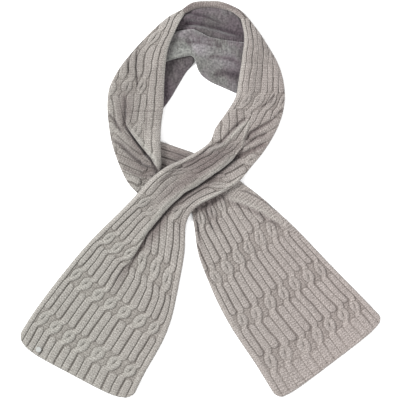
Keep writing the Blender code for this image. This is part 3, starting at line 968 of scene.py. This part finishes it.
class Finish:
    """A material, to which nodes are added one by one."""

    def __init__(self, name, settings):
        self.material = bpy.data.materials.new(name)
        self.material.use_nodes = True
        self.tree = self.material.node_tree
        self.shader = self.tree.nodes["Principled BSDF"].inputs
        for socket, value in settings.items():
            self.feed(self.shader[socket], value)

    def feed(self, socket, value):
        """Links a socket to another one, or sets it to a value."""
        if isinstance(value, bpy.types.NodeSocket):
            self.tree.links.new(value, socket)
        else:
            socket.default_value = value

    def add(self, kind, inputs, **settings):
        """One node, set and fed; its outputs."""
        node = self.tree.nodes.new("ShaderNode" + kind)
        for name, value in settings.items():
            setattr(node, name, value)
        for name, value in inputs.items():
            self.feed(node.inputs[name], value)
        return node.outputs

    def maths(self, operation, *values, clamp=False):
        """A sum on sockets or numbers."""
        return self.add("Math", dict(enumerate(values)), operation=operation, use_clamp=clamp)[0]

    def noted(self, name):
        """A number stored at the vertices."""
        return self.add("Attribute", {}, attribute_name=name)["Fac"]

    def speckle(self, vector, scale, detail):
        """Random specks, scale of them to a metre."""
        return self.add("TexNoise", {"Scale": scale, "Detail": detail, "Vector": vector})["Fac"]

    def ramp(self, fac, stops):
        """A colour ramp through (position, colour) stops."""
        node = self.tree.nodes.new("ShaderNodeValToRGB")
        elements = node.color_ramp.elements
        while len(elements) < len(stops):
            elements.new(0.5)
        for element, (position, colour) in zip(elements, stops):
            element.position = position
            element.color = (*colour, 1)
        self.feed(node.inputs["Fac"], fac)
        return node.outputs["Color"]

    def mixed(self, first, second, blend="MULTIPLY", factor=1.0):
        """Two colours multiplied, or blended."""
        sockets = {"Factor": factor, "A": first, "B": second}
        return self.add("Mix", sockets, data_type="RGBA", blend_type=blend)["Result"]

    def coloured(self, colour, height, strength, distance):
        """Gives the shader its colour, and a relief too fine for the mesh."""
        sockets = {"Strength": strength, "Distance": distance, "Height": height}
        self.feed(self.shader["Base Color"], colour)
        self.feed(self.shader["Normal"], self.add("Bump", sockets)["Normal"])


# Painted shade: how dark the colour is made where the cloth lies in a crease, in a shaded spot, along a
# pleat's foot or inside the neck, in the knit and in the fleece.
PAINTED_SHADE_KNIT = [(0.0, (1, 1, 1)), (0.5, (0.54, 0.49, 0.5)), (1.0, (0.2, 0.165, 0.18))]
PAINTED_SHADE_FLEECE = [(0.0, (1, 1, 1)), (0.3, (0.71, 0.7, 0.7)), (0.6, (0.46, 0.405, 0.43)), (1.0, (0.18, 0.14, 0.165))]


def knit_material():
    """Heathered wool yarn: fine stitches and flecked colour, with painted shade in the gutters, creases and
    shaded spots, and painted highlights along the ribs, on pleat lips, on ridges and on knots.
    """
    dull = {"Roughness": 0.95, "Specular IOR Level": 0.15, "Sheen Weight": 0.2, "Sheen Roughness": 0.6}
    finish = Finish("heather_knit", dull)
    maths = finish.maths
    cloth = finish.add("SeparateXYZ", {"Vector": finish.add("UVMap", {}, uv_map="cloth")["UV"]})
    place_on = finish.add("TexCoord", {})["Object"]

    # Each stitch is a V: two slanting legs that meet in the middle of its column.
    column = maths("DIVIDE", cloth["X"], STITCH_WIDE * MM)
    leg = maths("MULTIPLY", maths("PINGPONG", column, 0.5), 2.0)
    wander = maths("MULTIPLY", finish.speckle(place_on, 160.0, 2.0), 1.1)
    course = maths("DIVIDE", cloth["Y"], STITCH_TALL * MM)
    course = maths("ADD", course, maths("MULTIPLY", leg, STITCH_SLANT))
    course = maths("ADD", course, wander)
    wave = maths("SINE", maths("MULTIPLY", course, 2 * np.pi))
    wave = maths("ADD", maths("MULTIPLY", wave, 0.5), 0.5)
    seam = maths("MULTIPLY", maths("POWER", leg, 5.0), 0.6)
    stitch = maths("SUBTRACT", wave, seam, clamp=True)

    fleck = finish.speckle(place_on, 820.0, 3.0)
    yarn = finish.speckle(place_on, 1500.0, 1.0)
    mixed = maths("ADD", maths("MULTIPLY", fleck, 0.6), maths("MULTIPLY", yarn, 0.4))
    mixed = maths("ADD", mixed, maths("MULTIPLY", stitch, 0.11))
    tone = finish.ramp(
        mixed,
        [(0.4, (0.098, 0.088, 0.081)), (0.55, (0.199, 0.182, 0.172)), (0.69, (0.32, 0.302, 0.288))],
    )
    # Painted shade in the gutters and on the ground between ribs, and a painted highlight just inside each
    # rib's edges, both taken from the height of the relief.
    shade = finish.ramp(
        finish.noted("rib"),
        [
            (0.0, (0.56, 0.525, 0.515)), (0.38, (0.795, 0.78, 0.77)), (0.64, (0.915, 0.905, 0.895)),
            (0.84, (1.09, 1.09, 1.085)), (1.0, (0.965, 0.96, 0.96)),
        ],
    )
    # Painted shade in creases, in shaded spots and along the pleat's foot.
    painted_shade_colour = finish.ramp(finish.noted("painted_shade"), PAINTED_SHADE_KNIT)
    # The colour is a little greener at the left, and pinker and lighter towards the right.
    side = finish.add("SeparateXYZ", {"Vector": place_on})["X"]
    tint = finish.ramp(
        maths("ADD", maths("MULTIPLY", side, 2.0), 0.5),
        [(0.19, (0.96, 0.998, 0.965)), (0.76, (1.037, 0.998, 0.992)), (0.92, (1.125, 1.07, 1.065))],
    )
    mint = finish.ramp(mixed, [(0.36, (0.138, 0.136, 0.125)), (0.72, (0.378, 0.369, 0.343))])
    # The stored pale value mixes in a paler colour: the inner edges' own, and painted highlights on lips,
    # ridges and knots.
    pale = maths("MULTIPLY", finish.noted("pale"), 0.5)
    colour = finish.mixed(finish.mixed(tone, shade), mint, "MIX", pale)
    colour = finish.mixed(colour, finish.mixed(painted_shade_colour, tint))
    rise = maths("ADD", stitch, maths("MULTIPLY", fleck, 0.6))
    finish.coloured(colour, rise, 0.6, 0.0007)
    return finish.material


def fleece_material():
    """Short napped fleece, bluish grey, darkened by painted shade in creases, in shaded spots and inside the
    neck, and lightened by painted light in a few spots.
    """
    dull = {"Roughness": 1.0, "Specular IOR Level": 0.1, "Sheen Weight": 0.5, "Sheen Roughness": 0.5}
    finish = Finish("napped_fleece", dull)
    place_on = finish.add("TexCoord", {})["Object"]
    nap = finish.speckle(place_on, 380.0, 4.0)
    tone = finish.ramp(nap, [(0.3, (0.085, 0.084, 0.085)), (0.72, (0.235, 0.232, 0.231))])
    painted_shade_colour = finish.ramp(finish.noted("painted_shade"), PAINTED_SHADE_FLEECE)
    cast = finish.speckle(place_on, 34.0, 1.0)
    tint = finish.ramp(cast, [(0.38, (1.04, 0.98, 1.03)), (0.62, (0.98, 1.015, 0.955))])
    finish.coloured(finish.mixed(finish.mixed(tone, painted_shade_colour), tint), nap, 0.5, 0.0008)
    return finish.material


def stud_material():
    """Dull pale metal."""
    return Finish("brushed_stud", {"Base Color": (0.25, 0.255, 0.245, 1), "Roughness": 0.6}).material


# ---
# The scene.


def stage():
    """A pale floor, soft light from all round and a camera that looks straight down."""
    floor_shape = bmesh.new()
    bmesh.ops.create_grid(floor_shape, x_segments=1, y_segments=1, size=3.0)
    bmesh.ops.translate(floor_shape, verts=floor_shape.verts[:], vec=Vector((0, 0, -0.0004)))
    mesh = bpy.data.meshes.new("floor")
    floor_shape.to_mesh(mesh)
    floor_shape.free()
    pale = {"Base Color": (0.93, 0.93, 0.93, 1), "Roughness": 1.0, "Specular IOR Level": 0.0}
    mesh.materials.append(Finish("pale_floor", pale).material)
    shown("floor", mesh)

    world = bpy.data.worlds.new("studio")
    world.use_nodes = True
    sky = world.node_tree.nodes["Background"].inputs
    sky["Color"].default_value = (1, 1, 1, 1)
    sky["Strength"].default_value = 1.12
    bpy.context.scene.world = world

    for name, at, size, power in (
        ("key", (-1.8, 0.8, 1.7), 0.9, 97.0),
        ("fill", (1.5, -1.0, 1.9), 1.8, 30.0),
    ):
        lamp = bpy.data.lights.new(name, "AREA")
        lamp.shape = "DISK"
        lamp.size = size
        lamp.energy = power
        light = shown(name, lamp)
        light.location = at
        light.rotation_euler = (-Vector(at)).to_track_quat("-Z", "Y").to_euler()

    lens = bpy.data.cameras.new("camera")
    lens.sensor_width = 36
    height = 2.5
    view = 0.54  # width of the view at the cloth's top
    lens.lens = lens.sensor_width * (height - WALL * MM) / view
    camera = shown("camera", lens)
    camera.location = (-0.0007, -0.0001, height)
    bpy.context.scene.camera = camera
    bpy.context.scene.view_settings.view_transform = "Standard"


def build():
    """Every stretch, in the order in which they lie on each other."""
    knit = knit_material()
    nap = fleece_material()
    both = (knit, nap)
    board = Board()
    lower = knit_shell(
        "scarf_lower", LOWER_STRIP, LOWER_RIBS, LOWER_DRIFT, (3.62, -1.6), 330, (3.62,), board, LOWER_LOOK,
        ("crossing_under", "tail_right"), both,
    )
    back = fleece_shell(
        "lining_loop_back", "loop_fleece_back", LOOP_FLEECE_BACK, 1.0, board, [], 0.75, LOOP_BACK_SHADED, nap
    )
    neck_back = fleece_shell(
        "lining_neck_back", "neck_fleece_back", NECK_FLEECE_BACK, 2.0, board,
        NECK_BACK_CREASES, 0.7, NECK_BACK_SHADED, nap,
    )
    neck_front = fleece_shell(
        "lining_neck_front", "neck_fleece_front", NECK_FLEECE_FRONT, 1.0, board,
        NECK_FRONT_CREASES, 0.34, NECK_FRONT_SHADED, nap,
    )
    edge = knit_shell(
        "edge_neck", NECK_STRIP, NECK_RIBS, LEFT_DRIFT, (8.7, 10.0), 120, (), board, NECK_LOOK,
        ("neck_edge",), both,
    )
    left = knit_shell(
        "scarf_left", LEFT_STRIP, LEFT_RIBS, LEFT_DRIFT, (-1.6, 2.05), 230, (), board, LEFT_LOOK,
        ("loop_left",), both,
    )
    upper = knit_shell(
        "scarf_upper", UPPER_STRIP, UPPER_RIBS, UPPER_DRIFT, (0.39, 8.7), 460, (0.39,), board, UPPER_LOOK,
        ("tail_left", "crossing_over", "loop_right"), both,
    )
    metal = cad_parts["stud"].data.materials
    metal.clear()
    metal.append(stud_material())
    return lower, back, neck_back, neck_front, edge, left, upper


lower, back, neck_back, neck_front, edge, left, upper = build()
stage()
